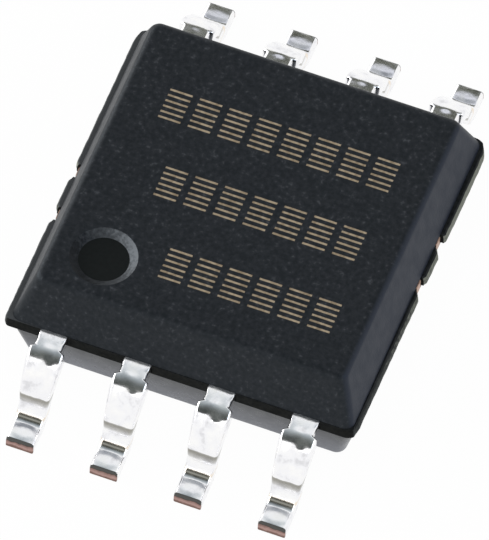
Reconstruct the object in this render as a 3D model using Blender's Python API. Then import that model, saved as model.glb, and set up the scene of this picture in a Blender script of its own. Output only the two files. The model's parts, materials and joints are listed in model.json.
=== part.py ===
"""Flash memory chip in an eight-lead gull-wing package: body, leads, die and bond wires.

Metres, +Z up. X runs along the two rows of leads and Y across them, from the row of leads
1 to 4 to the row of leads 5 to 8. The feet stand on Z = 0 and the origin is between them.
"""
import math

import bmesh
import bpy
from mathutils import Matrix, Vector
from mathutils.geometry import interpolate_bezier

# Lead strip, and how the strip is formed outside the body
STRIP_THICKNESS = 0.20e-3
LEADS_PER_ROW = 4
LEAD_PITCH = 1.27e-3
SHOULDER_FLAT = 0.26e-3
SHOULDER_BEND_INSIDE = 0.20e-3
SHIN_PITCH = math.radians(75)
HEEL_BEND_INSIDE = 0.25e-3
FOOT_FLAT = 0.31e-3
TIP_DROOP = 0.07e-3
STRIP_EDGE_EASE = 0.018e-3

# Lead widths, and the places along the lead where they change
LEAD_WIDTH = 0.41e-3
DAM_BAR_WIDTH = 0.52e-3
DAM_BAR_FROM_BODY = 0.21e-3
DAM_BAR_STEP = 0.02e-3
DAM_BAR_LENGTH = 0.16e-3
FOOT_WIDTH = 0.43e-3
TIP_WIDTH = 0.41e-3

# Inner ends of the leads, where the wires are stitched
LEAD_TO_PAD_GAP = 0.22e-3
INNER_END_WIDTH = 0.62e-3
INNER_END_LENGTH = 0.34e-3
INNER_END_TAPER = 0.28e-3
OUTER_LEAD_FAN = 0.26e-3
INNER_LEAD_FAN = 0.03e-3

# Moulded body
BODY_LENGTH = 5.16e-3
BODY_WIDTH = 5.38e-3
STAND_OFF = 0.10e-3
LOWER_HALF_HEIGHT = 0.83e-3
UPPER_HALF_HEIGHT = 0.77e-3
END_FLANGE = 0.10e-3
SIDE_STEP = 0.012e-3
LOWER_STEP = 0.03e-3
UPPER_END_DRAFT = math.radians(18)
UPPER_SIDE_DRAFT = math.radians(22.5)
LOWER_END_DRAFT = math.radians(16)
LOWER_SIDE_DRAFT = math.radians(12)
CORNER_RADIUS = 0.15e-3
FLANGE_CORNER_RADIUS = 0.20e-3
TOP_EDGE_EASE = 0.085e-3
BOTTOM_EDGE_EASE = 0.07e-3
CORNER_STEPS = 4
EASE_STEPS = 3

# Pin-one dimple, its centre measured in from the upper end and side edges of the top
DIMPLE_RIM_RADIUS = 0.49e-3
DIMPLE_FLOOR_RADIUS = 0.36e-3
DIMPLE_DEPTH = 0.085e-3
DIMPLE_FROM_END = 0.78e-3
DIMPLE_FROM_SIDE = 0.69e-3
DIMPLE_STEPS = 40

# Die pad, with its tie bars and the notches where they were cut
PAD_LENGTH = 2.90e-3
PAD_WIDTH = 2.50e-3
PAD_CORNER_RADIUS = 0.20e-3
PAD_DOWNSET = 0.15e-3
TIE_BAR_WIDTH = 0.16e-3
TIE_BAR_OFFSET = 0.78e-3
TIE_BAR_FROM_NOTCH = 0.02e-3
TIE_BAR_FLAT = 0.30e-3
TIE_BAR_BEND_INSIDE = 0.08e-3
TIE_BAR_PITCH = math.radians(30)
TIE_BAR_ROOT = 0.12e-3
NOTCH_MARGIN = 0.035e-3
NOTCH_UNDERCUT = 0.01e-3

# Die, the layer that holds it, and the bond wires
DIE_LENGTH = 2.10e-3
DIE_WIDTH = 1.70e-3
DIE_THICKNESS = 0.28e-3
ATTACH_THICKNESS = 0.03e-3
ATTACH_MARGIN = 0.06e-3
ATTACH_CORNER_RADIUS = 0.05e-3
WIRE_RADIUS = 0.015e-3
BALL_RADIUS = 0.036e-3
BALL_HEIGHT = 0.02e-3
WIRE_LOOP_HEIGHT = 0.20e-3
WIRE_STITCH_LENGTH = 0.25e-3
WIRE_STITCH_FROM_END = 0.18e-3
WIRE_FROM_DIE_EDGE = 0.08e-3
WIRE_PITCH_ON_DIE = 0.52e-3
WIRE_STEPS = 10

# Room that the compound leaves round the pieces it wraps, and the steps that bends are made in
CLEARANCE = 0.005e-3
BEND_STEP = math.radians(11)

# Heights that follow from the sizes above
BAND_BOTTOM = STAND_OFF + LOWER_HALF_HEIGHT
BAND_TOP = BAND_BOTTOM + STRIP_THICKNESS
BODY_TOP = BAND_TOP + UPPER_HALF_HEIGHT
STRIP_MIDDLE = BAND_BOTTOM + STRIP_THICKNESS / 2
PAD_MIDDLE = STRIP_MIDDLE - PAD_DOWNSET
ATTACH_BOTTOM = PAD_MIDDLE + STRIP_THICKNESS / 2 + CLEARANCE
DIE_BOTTOM = ATTACH_BOTTOM + ATTACH_THICKNESS + CLEARANCE
DIE_TOP = DIE_BOTTOM + DIE_THICKNESS

# Places that follow from the sizes above
BODY_SIDE = BODY_WIDTH / 2
FLANGE_END = BODY_LENGTH / 2 + END_FLANGE
NOTCH_END = BODY_LENGTH / 2 - NOTCH_UNDERCUT
TOP_HALF_LENGTH = BODY_LENGTH / 2 - UPPER_HALF_HEIGHT * math.tan(UPPER_END_DRAFT)
TOP_HALF_WIDTH = BODY_SIDE - SIDE_STEP - UPPER_HALF_HEIGHT * math.tan(UPPER_SIDE_DRAFT)
INNER_END = PAD_WIDTH / 2 + LEAD_TO_PAD_GAP
LEAD_INSIDE = BODY_SIDE - INNER_END


def clear_scene():
    for obj in list(bpy.data.objects):
        bpy.data.objects.remove(obj, do_unlink=True)


def new_collection(name):
    collection = bpy.data.collections.new(name)
    bpy.context.scene.collection.children.link(collection)
    return collection


def new_material(name, colour, roughness, metallic=0.0):
    material = bpy.data.materials.new(name)
    material.use_nodes = True
    shader = material.node_tree.nodes["Principled BSDF"]
    shader.inputs["Base Color"].default_value = (*colour, 1.0)
    shader.inputs["Roughness"].default_value = roughness
    shader.inputs["Metallic"].default_value = metallic
    return material


def place(name, mesh, collection, material=None, parent=None):
    """Put a mesh into the scene as a named object."""
    obj = bpy.data.objects.new(name, mesh)
    collection.objects.link(obj)
    obj.parent = parent
    if material:
        mesh.materials.append(material)
    return obj


def place_cutter(name, mesh, collection):
    """A solid that only shapes others: drawn as wire and left out of renders."""
    obj = place(name, mesh, collection)
    obj.hide_render = True
    obj.display_type = "WIRE"
    return obj


def mesh_from(bm, name):
    """Close a bmesh into a smooth-shaded mesh whose real edges stay sharp."""
    bmesh.ops.recalc_face_normals(bm, faces=bm.faces)
    mesh = bpy.data.meshes.new(name)
    bm.to_mesh(mesh)
    bm.free()
    mesh.shade_smooth()
    mesh.set_sharp_from_angle(angle=math.radians(30))
    return mesh


def loft(bm, rings):
    """A closed skin through rings of equally many points; returns the rings' vertices."""
    loops = [[bm.verts.new(point) for point in ring] for ring in rings]
    for lower, upper in zip(loops, loops[1:]):
        for here in range(len(lower)):
            after = (here + 1) % len(lower)
            bm.faces.new((lower[here], lower[after], upper[after], upper[here]))
    bm.faces.new(loops[0])
    bm.faces.new(loops[-1])
    bmesh.ops.recalc_face_normals(bm, faces=bm.faces)
    return loops


def ease_ring(bm, loop, width, steps):
    """Round the edges that run around one ring of a loft."""
    ring = set(loop)
    edges = [edge for edge in bm.edges if set(edge.verts) <= ring]
    bmesh.ops.bevel(bm, geom=edges, offset=width, segments=steps, profile=0.5, affect="EDGES")


def rounded_rectangle(half_length, half_width, radius, height):
    """Points around a flat rectangle whose corners are arcs."""
    centre_x, centre_y = half_length - radius, half_width - radius
    points = []
    for corner, (side_x, side_y) in enumerate(((1, 1), (-1, 1), (-1, -1), (1, -1))):
        for step in range(CORNER_STEPS + 1):
            angle = (corner + step / CORNER_STEPS) * math.pi / 2
            x = side_x * centre_x + radius * math.cos(angle)
            y = side_y * centre_y + radius * math.sin(angle)
            points.append((x, y, height))
    return points


def plate(name, length, width, bottom, top, radius, grow=0.0):
    """A flat plate with round corners, grown on every side to make its own cavity."""
    half_length, half_width = length / 2 + grow, width / 2 + grow
    heights = (bottom - grow, top + grow)
    bm = bmesh.new()
    loft(bm, [rounded_rectangle(half_length, half_width, radius, z) for z in heights])
    return mesh_from(bm, name)


def block(name, length, width, bottom, top, centre=(0.0, 0.0), grow=0.0):
    """A plain rectangular block, grown on every side to make its own cavity."""
    size = Vector((length, width, top - bottom)) + Vector((2 * grow,) * 3)
    middle = Vector((centre[0], centre[1], (bottom + top) / 2))
    bm = bmesh.new()
    bmesh.ops.create_cube(bm, size=1.0, matrix=Matrix.Translation(middle) @ Matrix.Diagonal((*size, 1.0)))
    return mesh_from(bm, name)


def step_down(drop, first_radius, last_radius, pitch):
    """The two bends and the straight between them that lower a strip: (length, turn) moves."""
    bends_drop = (first_radius + last_radius) * (1 - math.cos(pitch))
    straight = (drop - bends_drop) / math.sin(pitch)
    return [(first_radius * pitch, pitch), (straight, 0.0), (last_radius * pitch, -pitch)]


def follow(moves, distance):
    """Where a strip's middle is after a distance along its moves: run, drop and pitch."""
    run, drop, pitch = 0.0, 0.0, 0.0
    for number, (length, turn) in enumerate(moves):
        last = number == len(moves) - 1
        part = distance if last else min(distance, length)
        if turn:
            radius = length / turn
            ahead = pitch + part / radius
            run += radius * (math.sin(ahead) - math.sin(pitch))
            drop += radius * (math.cos(pitch) - math.cos(ahead))
            pitch = ahead
        else:
            run += part * math.cos(pitch)
            drop += part * math.sin(pitch)
        distance -= part
        if distance <= 0:
            break
    return run, drop, pitch


def move_breaks(moves):
    """Distances at which a strip needs a section: the ends of its moves and steps in its bends."""
    breaks, reached = [0.0], 0.0
    for length, turn in moves:
        steps = max(1, math.ceil(abs(turn) / BEND_STEP))
        breaks += [reached + length * step / steps for step in range(1, steps + 1)]
        reached += length
    return breaks


def width_at(outline, distance):
    """The strip's sideways shift and width at a distance, read from its outline."""
    for (start, *before), (end, *after) in zip(outline, outline[1:]):
        if distance <= end:
            share = max(0.0, (distance - start) / (end - start))
            return [old + share * (new - old) for old, new in zip(before, after)]
    return outline[-1][1:]


def strip(name, moves, outline, droop=0.0, grow=0.0):
    """A bent strip that starts at its own origin, runs along -Y and drops along -Z.

    The outline is a list of (distance, sideways shift, width). The upper edge of the far
    end is rounded over by the droop.
    """
    breaks = move_breaks(moves) + [row[0] for row in outline]
    far_end = outline[-1][0]
    if droop:
        breaks += [far_end - droop * (1 - math.cos(math.radians(a))) for a in (40, 65, 90)]
    distances = sorted(round(d, 9) for d in breaks if -1e-9 <= d <= far_end + 1e-9)
    stations = [d for i, d in enumerate(distances) if i == 0 or d - distances[i - 1] > 2e-6]
    stations[0] -= grow
    stations[-1] = far_end + grow
    rings = []
    for distance in stations:
        run, drop, pitch = follow(moves, distance)
        shift, width = width_at(outline, distance)
        past = max(0.0, distance - (far_end - droop)) if droop else 0.0
        lowered = droop - math.sqrt(max(0.0, droop ** 2 - past ** 2))
        rings.append(strip_section(run, drop, pitch, shift, width / 2 + grow, lowered, grow))
    bm = bmesh.new()
    loft(bm, rings)
    return mesh_from(bm, name)


def strip_section(run, drop, pitch, shift, half_width, lowered, grow):
    """The eight corners of one section across a strip, square to the way it runs."""
    middle = Vector((shift, -run, -drop))
    upward = Vector((0.0, -math.sin(pitch), math.cos(pitch)))
    over, under = STRIP_THICKNESS / 2 + grow - lowered, STRIP_THICKNESS / 2 + grow
    ease = STRIP_EDGE_EASE
    corners = (
        (-half_width + ease, over), (half_width - ease, over),
        (half_width, over - ease), (half_width, -under + ease),
        (half_width - ease, -under), (-half_width + ease, -under),
        (-half_width, -under + ease), (-half_width, over - ease),
    )
    return [middle + Vector((across, 0.0, 0.0)) + upward * up for across, up in corners]


def lead_moves():
    """The lead from its inner end to its tip: flat, down the gull wing, and flat again."""
    shoulder = SHOULDER_BEND_INSIDE + STRIP_THICKNESS / 2
    heel = HEEL_BEND_INSIDE + STRIP_THICKNESS / 2
    wing = step_down(STRIP_MIDDLE - STRIP_THICKNESS / 2, shoulder, heel, SHIN_PITCH)
    return [(LEAD_INSIDE + SHOULDER_FLAT, 0.0)] + wing + [(FOOT_FLAT, 0.0)]


def lead_outline(moves, fan):
    """Widths along a lead: wide inner end, neck, dam-bar stubs, tapered shin and foot."""
    whole = sum(length for length, _ in moves)
    stub = LEAD_INSIDE + DAM_BAR_FROM_BODY
    shin_end = sum(length for length, _ in moves[:3])
    return [
        (0.0, fan, INNER_END_WIDTH),
        (INNER_END_LENGTH, fan, INNER_END_WIDTH),
        (INNER_END_LENGTH + INNER_END_TAPER, 0.0, LEAD_WIDTH),
        (stub, 0.0, LEAD_WIDTH),
        (stub + DAM_BAR_STEP, 0.0, DAM_BAR_WIDTH),
        (stub + DAM_BAR_STEP + DAM_BAR_LENGTH, 0.0, DAM_BAR_WIDTH),
        (shin_end, 0.0, FOOT_WIDTH),
        (whole, 0.0, TIP_WIDTH),
    ]


def lead_places():
    """For each lead of a row, its place along the row and the fan of its inner end."""
    places = []
    for number in range(LEADS_PER_ROW):
        along = (number - (LEADS_PER_ROW - 1) / 2) * LEAD_PITCH
        outermost = number in (0, LEADS_PER_ROW - 1)
        fan = OUTER_LEAD_FAN if outermost else INNER_LEAD_FAN
        places.append((along, -math.copysign(fan, along)))
    return places


def row_turn(lead):
    """The second row is the first one turned half round, so lead 5 faces lead 4."""
    return math.pi if lead > LEADS_PER_ROW else 0.0


def set_in_row(obj, lead, offset):
    """Stand an object that was made for the front row at its lead, in either row."""
    turn = row_turn(lead)
    obj.location = Matrix.Rotation(turn, 3, "Z") @ Vector(offset)
    obj.rotation_euler.z = turn


def build_leads(parts, cutters, material, parent):
    """Eight formed leads, and the slots that their inner ends need in the body."""
    moves = lead_moves()
    inner_flat = [(LEAD_INSIDE + SHOULDER_FLAT, 0.0)]
    for lead in range(1, 2 * LEADS_PER_ROW + 1):
        along, fan = lead_places()[(lead - 1) % LEADS_PER_ROW]
        offset = (along, -INNER_END, STRIP_MIDDLE)
        outline = lead_outline(moves, fan)
        mesh = strip(f"lead_{lead}", moves, outline, droop=TIP_DROOP)
        set_in_row(place(f"lead_{lead}", mesh, parts, material, parent), lead, offset)

        slot_outline = outline[:3] + [(inner_flat[0][0], 0.0, LEAD_WIDTH)]
        slot = strip(f"lead_slot_{lead}", inner_flat, slot_outline, grow=CLEARANCE)
        set_in_row(place_cutter(f"lead_slot_{lead}", slot, cutters), lead, offset)


def tie_bar(name, end, across, grow=0.0):
    """One tie bar, from its cut end in the notch down to the die pad that it carries."""
    radius = TIE_BAR_BEND_INSIDE + STRIP_THICKNESS / 2
    moves = [(TIE_BAR_FLAT, 0.0)] + step_down(PAD_DOWNSET, radius, radius, TIE_BAR_PITCH)
    stub_end = NOTCH_END + TIE_BAR_FROM_NOTCH
    run = follow(moves, sum(length for length, _ in moves))[0]
    moves.append((stub_end - run - PAD_LENGTH / 2 + TIE_BAR_ROOT, 0.0))
    whole = sum(length for length, _ in moves)
    mesh = strip(name, moves, [(0.0, 0.0, TIE_BAR_WIDTH), (whole, 0.0, TIE_BAR_WIDTH)], grow=grow)
    turn = Matrix.Rotation(-end * math.pi / 2, 4, "Z")
    mesh.transform(Matrix.Translation((end * stub_end, across, STRIP_MIDDLE)) @ turn)
    return mesh


def tie_bar_places():
    """Two bars at each end: one on the middle line, one to the side, turned half round."""
    return [(end, across) for end in (1, -1) for across in (0.0, end * TIE_BAR_OFFSET)]


def build_die_pad(parts, cutters, bars, material, parent):
    """Die pad and tie bars in one piece, with their cavity and the flange notches."""
    bottom, top = PAD_MIDDLE - STRIP_THICKNESS / 2, PAD_MIDDLE + STRIP_THICKNESS / 2
    size = (PAD_LENGTH, PAD_WIDTH, bottom, top, PAD_CORNER_RADIUS)
    pad = place("die_pad", plate("die_pad", *size), parts, material, parent)
    place_cutter("die_pad_cavity", plate("die_pad_cavity", *size, grow=CLEARANCE), cutters)
    for number, (end, across) in enumerate(tie_bar_places(), start=1):
        place_cutter(f"tie_bar_{number}", tie_bar(f"tie_bar_{number}", end, across), bars)
        cavity = tie_bar(f"tie_bar_cavity_{number}", end, across, grow=CLEARANCE)
        place_cutter(f"tie_bar_cavity_{number}", cavity, cutters)
        depth = FLANGE_END - NOTCH_END + NOTCH_MARGIN
        notch = block(
            f"notch_{number}", depth, TIE_BAR_WIDTH + 2 * NOTCH_MARGIN,
            BAND_BOTTOM - CLEARANCE, BAND_TOP + CLEARANCE,
            centre=(end * (NOTCH_END + depth / 2), across),
        )
        place_cutter(f"notch_{number}", notch, cutters)
    join = pad.modifiers.new("tie bars", "BOOLEAN")
    join.operation = "UNION"
    join.operand_type = "COLLECTION"
    join.collection = bars


def build_die(parts, cutters, attach_material, die_material, parent):
    """The die and the layer under it, which share one stepped cavity."""
    attach_size = (
        DIE_LENGTH + 2 * ATTACH_MARGIN, DIE_WIDTH + 2 * ATTACH_MARGIN,
        ATTACH_BOTTOM, ATTACH_BOTTOM + ATTACH_THICKNESS, ATTACH_CORNER_RADIUS,
    )
    die_size = (DIE_LENGTH, DIE_WIDTH, DIE_BOTTOM, DIE_TOP)
    place("die_attach", plate("die_attach", *attach_size), parts, attach_material, parent)
    place("flash_die", block("flash_die", *die_size), parts, die_material, parent)
    place_cutter("attach_cavity", plate("attach_cavity", *attach_size, grow=CLEARANCE), cutters)
    place_cutter("die_cavity", block("die_cavity", *die_size, grow=CLEARANCE), cutters)


def wire_route(lead, grow):
    """A wire from the ball on the die, over its loop, to the stitch on the lead."""
    along, fan = lead_places()[(lead - 1) % LEADS_PER_ROW]
    on_die = along / LEAD_PITCH * WIRE_PITCH_ON_DIE
    ball = Vector((on_die, -DIE_WIDTH / 2 + WIRE_FROM_DIE_EDGE, DIE_TOP + CLEARANCE - grow))
    neck = ball + Vector((0.0, 0.0, BALL_HEIGHT + grow))
    stitch_height = BAND_TOP + CLEARANCE + WIRE_RADIUS
    stitch = Vector((along + fan, -INNER_END - WIRE_STITCH_FROM_END, stitch_height))
    outward = Vector((stitch.x - neck.x, stitch.y - neck.y, 0.0)).normalized()
    stitch += outward * grow
    lift = Vector((0.0, 0.0, WIRE_LOOP_HEIGHT))
    loop = interpolate_bezier(
        neck + Vector((0.0, 0.0, BALL_HEIGHT / 2)), neck + lift,
        stitch - outward * WIRE_STITCH_LENGTH, stitch, WIRE_STEPS,
    )
    return ball, neck, loop


def wire_mesh(name, lead, grow=0.0):
    """A round wire as a bevelled curve, turned into a closed mesh."""
    ball, neck, loop = wire_route(lead, grow)
    curve = bpy.data.curves.new(name, "CURVE")
    curve.dimensions = "3D"
    curve.bevel_depth = WIRE_RADIUS + grow
    curve.bevel_resolution = 2
    curve.use_fill_caps = True
    spline = curve.splines.new("POLY")
    points = [ball, neck] + list(loop)
    spline.points.add(len(points) - 1)
    for number, point in enumerate(points):
        spline.points[number].co = (*point, 1.0)
        spline.points[number].radius = (BALL_RADIUS + grow) / (WIRE_RADIUS + grow) if number < 2 else 1.0
    carrier = bpy.data.objects.new(name, curve)
    bpy.context.scene.collection.objects.link(carrier)
    graph = bpy.context.evaluated_depsgraph_get()
    bm = bmesh.new()
    bm.from_mesh(bpy.data.meshes.new_from_object(carrier.evaluated_get(graph)))
    bpy.data.objects.remove(carrier, do_unlink=True)
    bmesh.ops.remove_doubles(bm, verts=bm.verts, dist=WIRE_RADIUS / 100)
    return mesh_from(bm, name)


def build_wires(parts, cutters, material, parent):
    """Eight bond wires and the channels that the compound leaves around them."""
    for lead in range(1, 2 * LEADS_PER_ROW + 1):
        wire = place(f"bond_wire_{lead}", wire_mesh(f"bond_wire_{lead}", lead), parts, material, parent)
        wire.rotation_euler.z = row_turn(lead)
        name = f"wire_channel_{lead}"
        channel = place_cutter(name, wire_mesh(name, lead, grow=CLEARANCE), cutters)
        channel.rotation_euler.z = row_turn(lead)


def body_rings():
    """Outlines of the body from its underside to its top, one below the other."""
    lower_length, lower_width = BODY_LENGTH / 2 - LOWER_STEP, BODY_SIDE - LOWER_STEP
    upper_length, upper_width = BODY_LENGTH / 2, BODY_SIDE - SIDE_STEP
    base_length = lower_length - LOWER_HALF_HEIGHT * math.tan(LOWER_END_DRAFT)
    base_width = lower_width - LOWER_HALF_HEIGHT * math.tan(LOWER_SIDE_DRAFT)
    flange = (FLANGE_END, BODY_SIDE, FLANGE_CORNER_RADIUS)
    return [
        rounded_rectangle(base_length, base_width, CORNER_RADIUS, STAND_OFF),
        rounded_rectangle(lower_length, lower_width, CORNER_RADIUS, BAND_BOTTOM),
        rounded_rectangle(*flange, BAND_BOTTOM),
        rounded_rectangle(*flange, BAND_TOP),
        rounded_rectangle(upper_length, upper_width, CORNER_RADIUS, BAND_TOP),
        rounded_rectangle(TOP_HALF_LENGTH, TOP_HALF_WIDTH, CORNER_RADIUS, BODY_TOP),
    ]


def dimple_cutter(cutters):
    """A shallow cone whose floor is the dimple's, carried on above the top of the body."""
    slope = (DIMPLE_RIM_RADIUS - DIMPLE_FLOOR_RADIUS) / DIMPLE_DEPTH
    height = 2 * DIMPLE_DEPTH
    bm = bmesh.new()
    bmesh.ops.create_cone(
        bm, cap_ends=True, segments=DIMPLE_STEPS, depth=height,
        radius1=DIMPLE_FLOOR_RADIUS, radius2=DIMPLE_FLOOR_RADIUS + slope * height,
    )
    cutter = place_cutter("dimple_cutter", mesh_from(bm, "dimple_cutter"), cutters)
    cutter.location = (
        -TOP_HALF_LENGTH + DIMPLE_FROM_END, -TOP_HALF_WIDTH + DIMPLE_FROM_SIDE,
        BODY_TOP - DIMPLE_DEPTH + height / 2,
    )


def build_body(parts, cutters, material, parent):
    """The moulded body: drafted halves, parting flange, and everything set into it."""
    bm = bmesh.new()
    loops = loft(bm, body_rings())
    ease_ring(bm, loops[-1], TOP_EDGE_EASE, EASE_STEPS)
    ease_ring(bm, loops[0], BOTTOM_EDGE_EASE, EASE_STEPS)
    body = place("package_body", mesh_from(bm, "package_body"), parts, material, parent)
    dimple_cutter(cutters)
    cut = body.modifiers.new("set-in pieces", "BOOLEAN")
    cut.operation = "DIFFERENCE"
    cut.operand_type = "COLLECTION"
    cut.collection = cutters


def main():
    clear_scene()
    parts = new_collection("flash_memory_chip")
    cutters = new_collection("body_cutters")
    bars = new_collection("tie_bars")
    compound = new_material("moulding_compound", (0.030, 0.032, 0.035), 0.62)
    tin = new_material("tin_plating", (0.80, 0.80, 0.78), 0.22, metallic=1.0)
    copper = new_material("copper_strip", (0.72, 0.42, 0.30), 0.35, metallic=1.0)
    epoxy = new_material("silver_epoxy", (0.55, 0.55, 0.53), 0.55)
    silicon = new_material("silicon", (0.18, 0.19, 0.22), 0.25, metallic=0.6)
    gold = new_material("gold_wire", (0.95, 0.72, 0.32), 0.20, metallic=1.0)

    origin = bpy.data.objects.new("seating_plane", None)
    parts.objects.link(origin)
    build_leads(parts, cutters, tin, origin)
    build_die_pad(parts, cutters, bars, copper, origin)
    build_die(parts, cutters, epoxy, silicon, origin)
    build_wires(parts, cutters, gold, origin)
    build_body(parts, cutters, compound, origin)


main()
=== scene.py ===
"""Looks of the flash memory chip, built round the solids of its frame.

Metres, +Z up. X runs along the rows of leads and Y across them, from the row of leads 1 to 4
to the row of leads 5 to 8. The feet stand on Z = 0.
"""
import json
import math

import bmesh
import bpy
from mathutils import Matrix, Vector, noise

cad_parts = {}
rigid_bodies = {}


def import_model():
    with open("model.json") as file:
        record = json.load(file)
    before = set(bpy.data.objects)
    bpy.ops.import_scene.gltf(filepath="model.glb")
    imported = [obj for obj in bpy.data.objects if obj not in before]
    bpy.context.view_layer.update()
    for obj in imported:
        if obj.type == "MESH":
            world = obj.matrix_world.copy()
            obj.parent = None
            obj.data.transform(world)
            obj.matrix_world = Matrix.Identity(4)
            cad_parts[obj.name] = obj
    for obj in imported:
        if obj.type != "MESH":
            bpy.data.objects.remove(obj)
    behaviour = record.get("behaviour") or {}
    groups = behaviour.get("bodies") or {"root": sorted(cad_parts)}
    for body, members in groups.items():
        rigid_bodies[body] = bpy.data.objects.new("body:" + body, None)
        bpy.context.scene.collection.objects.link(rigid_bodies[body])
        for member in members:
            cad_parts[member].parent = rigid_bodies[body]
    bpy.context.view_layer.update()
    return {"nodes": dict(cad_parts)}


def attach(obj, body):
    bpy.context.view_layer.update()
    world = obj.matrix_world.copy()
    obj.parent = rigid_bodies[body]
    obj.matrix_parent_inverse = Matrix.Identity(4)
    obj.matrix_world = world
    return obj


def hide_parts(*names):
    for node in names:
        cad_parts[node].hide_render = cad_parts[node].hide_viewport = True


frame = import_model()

# Sizes of the solids that the pieces below follow, some of them set closer to the photograph
STRIP_THICKNESS = 0.20e-3
LEADS_PER_ROW = 4
LEAD_PITCH = 1.27e-3
SHOULDER_BEND_INSIDE = 0.18e-3
HEEL_BEND_INSIDE = 0.25e-3
TIP_FROM_MIDDLE = 4.008e-3
LEAD_WIDTH = 0.41e-3
DAM_BAR_WIDTH = 0.52e-3
DAM_BAR_FROM_BODY = 0.22e-3
DAM_BAR_STEP = 0.025e-3
DAM_BAR_LENGTH = 0.16e-3
FOOT_WIDTH = 0.43e-3
TIP_WIDTH = 0.41e-3
INNER_END = 1.47e-3
INNER_END_WIDTH = 0.62e-3
INNER_END_LENGTH = 0.34e-3
INNER_END_TAPER = 0.28e-3
OUTER_LEAD_FAN = 0.26e-3
INNER_LEAD_FAN = 0.03e-3

BODY_LENGTH = 5.16e-3
BODY_WIDTH = 5.38e-3
STAND_OFF = 0.10e-3
BAND_BOTTOM = 0.93e-3
BAND_TOP = BAND_BOTTOM + STRIP_THICKNESS
BODY_TOP = 1.90e-3
END_FLANGE = 0.10e-3
SIDE_STEP = 0.012e-3
LOWER_STEP = 0.03e-3
UPPER_END_DRAFT = math.radians(18)
UPPER_SIDE_DRAFT = math.radians(22.5)
LOWER_END_DRAFT = math.radians(13)
LOWER_END_REACH = 0.01e-3
LOWER_SIDE_DRAFT = math.radians(12)
CORNER_RADIUS = 0.15e-3
FLANGE_CORNER_RADIUS = 0.09e-3
WORN_CORNER_RADIUS = 0.22e-3
WORN_CORNERS = ((1, 1), (-1, 1), (1, -1))
TOP_EDGE_EASE = 0.085e-3
BOTTOM_EDGE_EASE = 0.07e-3
DIMPLE_RIM_RADIUS = 0.49e-3
DIMPLE_FLOOR_RADIUS = 0.365e-3
DIMPLE_DEPTH = 0.085e-3
DIMPLE_FROM_END = 0.78e-3
DIMPLE_FROM_SIDE = 0.67e-3
TIE_BAR_WIDTH = 0.16e-3
TIE_BAR_OFFSET = 0.78e-3
NOTCH_MARGIN = 0.035e-3
NOTCH_UNDERCUT = 0.01e-3
CLEARANCE = 0.005e-3

# Places that follow from the sizes above
BODY_SIDE = BODY_WIDTH / 2
FLANGE_END = BODY_LENGTH / 2 + END_FLANGE
NOTCH_END = BODY_LENGTH / 2 - NOTCH_UNDERCUT
UPPER_HALF_HEIGHT = BODY_TOP - BAND_TOP
LOWER_HALF_HEIGHT = BAND_BOTTOM - STAND_OFF
TOP_HALF_LENGTH = BODY_LENGTH / 2 - UPPER_HALF_HEIGHT * math.tan(UPPER_END_DRAFT)
TOP_HALF_WIDTH = BODY_SIDE - SIDE_STEP - UPPER_HALF_HEIGHT * math.tan(UPPER_SIDE_DRAFT)
STRIP_MIDDLE = BAND_BOTTOM + STRIP_THICKNESS / 2
LEAD_INSIDE = BODY_SIDE - INNER_END
DIMPLE_CENTRE = Vector((
    -TOP_HALF_LENGTH + DIMPLE_FROM_END, -TOP_HALF_WIDTH + DIMPLE_FROM_SIDE, BODY_TOP,
))

# How finely the pieces are drawn
SIDE_SPACING = 0.045e-3
CORNER_STEPS = 10
EASE_STEPS = 8
RIM_STRIP = 0.03e-3
WALL_STRIP_SHARE = 0.06
DIMPLE_STEPS = 96
DIMPLE_FILLET = 0.018e-3
DIMPLE_FILLET_STEPS = 6
DIMPLE_CUTTER_REACH = 2.2
SHARP_ANGLE = math.radians(35)
LEAD_SHARP_ANGLE = math.radians(40)
CAVITY_MERGE = 1e-7
DIMPLE_MERGE = 1e-8

# How the cut edge of the flange wanders; a level is (share of its height, how far it is set in)
FLANGE_WEAR = 0.010e-3
FLANGE_WEAR_SCALE = 9000
FLANGE_WEAR_DECAY = 1.0
FLANGE_WEAR_STEP = 2.0
FLANGE_WEAR_OCTAVES = 3
FLANGE_WEAR_MEAN = 0.35
FLANGE_WEAR_SWING = 0.6
FLANGE_TAPER = 0.04e-3
TRIMMED_SHARE = 0.84
FLANGE_LEVELS = (
    (0.0, 0.006e-3), (0.12, 0.0), (0.6, 0.008e-3), (TRIMMED_SHARE, 0.020e-3), (1.0, 0.040e-3),
)
TRIMMED_TOP = BAND_BOTTOM + TRIMMED_SHARE * STRIP_THICKNESS
NOTCH_ROUNDING = 0.05e-3
NOTCH_ROUNDING_DEPTH = 0.35 * END_FLANGE
REAR_SET_IN = 0.07e-3
TOP_SET_IN_LESS = 0.5

# Marking: rows of hatched blocks, each row as (place along, place across, how many blocks)
MARK_ROWS = ((0.05e-3, 1.06e-3, 8), (0.24e-3, -0.20e-3, 7), (0.57e-3, -1.47e-3, 6))
MARK_BLOCK_LENGTH = 0.34e-3
MARK_BLOCK_HEIGHT = 0.52e-3
MARK_BLOCK_PITCH = 0.45e-3
MARK_LINES = 6
MARK_LINE_WIDTH = 0.036e-3
MARK_DEPTH = 0.003e-3

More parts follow.
